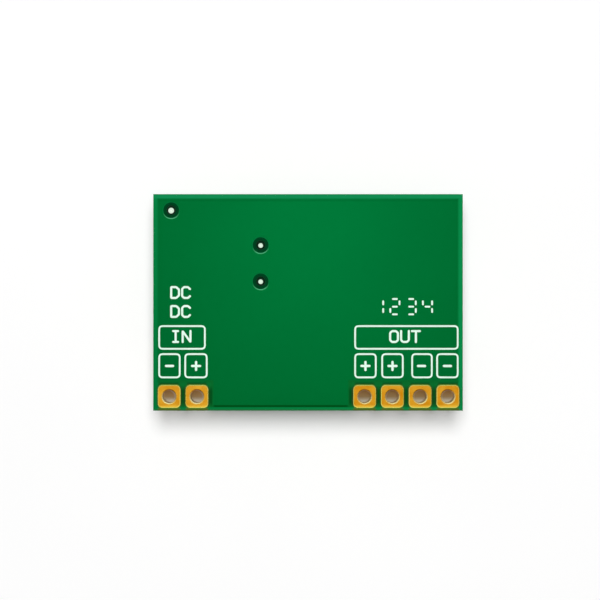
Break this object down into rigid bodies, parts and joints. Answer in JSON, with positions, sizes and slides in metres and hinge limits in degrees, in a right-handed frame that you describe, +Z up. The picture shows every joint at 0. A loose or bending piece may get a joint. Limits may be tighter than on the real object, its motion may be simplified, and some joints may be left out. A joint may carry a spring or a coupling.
{
  "type": "dc-dc converter",
  "caption": "Small step-down power module: a bare-backed green circuit board with six gold-plated terminal holes, lying on the shielded inductor of its component side.",
  "frame": {"origin": "middle of the board's outline, on the surface that the inductor's flat top rests on", "axes": "+X along the board's long side from the input to the output terminals, +Y away from the row of terminals, +Z up out of the bare side"},
  "size_m": [0.0284, 0.0198, 0.0057],
  "materials": {
    "glass_fibre_board": "satin",
    "board_copper": "satin",
    "solder_mask": "gloss",
    "gold_plating": "satin",
    "solder": "polished",
    "tinned_metal": "satin",
    "ferrite": "matte",
    "enamelled_wire": "gloss",
    "adhesive": "satin",
    "moulded_base": "matte",
    "moulded_case": "matte",
    "capacitor_ceramic": "satin",
    "resistor_body": "satin",
    "board_print": "satin"
  },
  "bodies": {
    "root": {"back_copper_plane": "board_copper", "back_solder_mask": "solder_mask", "boot_capacitor_body": "capacitor_ceramic", "boot_capacitor_ends": "tinned_metal", "diode_body": "moulded_case", "diode_leads": "tinned_metal", "edge_terminal_vin_minus": "gold_plating", "edge_terminal_vin_plus": "gold_plating", "edge_terminal_vout_minus_1": "gold_plating", "edge_terminal_vout_minus_2": "gold_plating", "edge_terminal_vout_plus_1": "gold_plating", "edge_terminal_vout_plus_2": "gold_plating", "enable_resistor_1_body": "resistor_body", "enable_resistor_1_ends": "tinned_metal", "enable_resistor_2_body": "resistor_body", "enable_resistor_2_ends": "tinned_metal", "feedback_resistor_1_body": "resistor_body", "feedback_resistor_1_ends": "tinned_metal", "feedback_resistor_2_body": "resistor_body", "feedback_resistor_2_ends": "tinned_metal", "front_lands": "gold_plating", "front_solder_mask": "solder_mask", "inductor_adhesive": "adhesive", "inductor_base": "moulded_base", "inductor_clip_1": "tinned_metal", "inductor_clip_2": "tinned_metal", "inductor_core": "ferrite", "inductor_shield": "ferrite", "inductor_winding": "enamelled_wire", "input_capacitor_1_body": "capacitor_ceramic", "input_capacitor_1_ends": "tinned_metal", "input_capacitor_2_body": "capacitor_ceramic", "input_capacitor_2_ends": "tinned_metal", "laminate": "glass_fibre_board", "output_capacitor_1_body": "capacitor_ceramic", "output_capacitor_1_ends": "tinned_metal", "output_capacitor_2_body": "capacitor_ceramic", "output_capacitor_2_ends": "tinned_metal", "regulator_body": "moulded_case", "regulator_leads": "tinned_metal", "regulator_thermal_pad": "tinned_metal", "soft_start_capacitor_body": "capacitor_ceramic", "soft_start_capacitor_ends": "tinned_metal", "solder_joints": "solder", "timing_resistor_body": "resistor_body", "timing_resistor_ends": "tinned_metal", "via_1": "solder", "via_2": "solder", "via_3": "solder"}
  },
  "joints": []
}
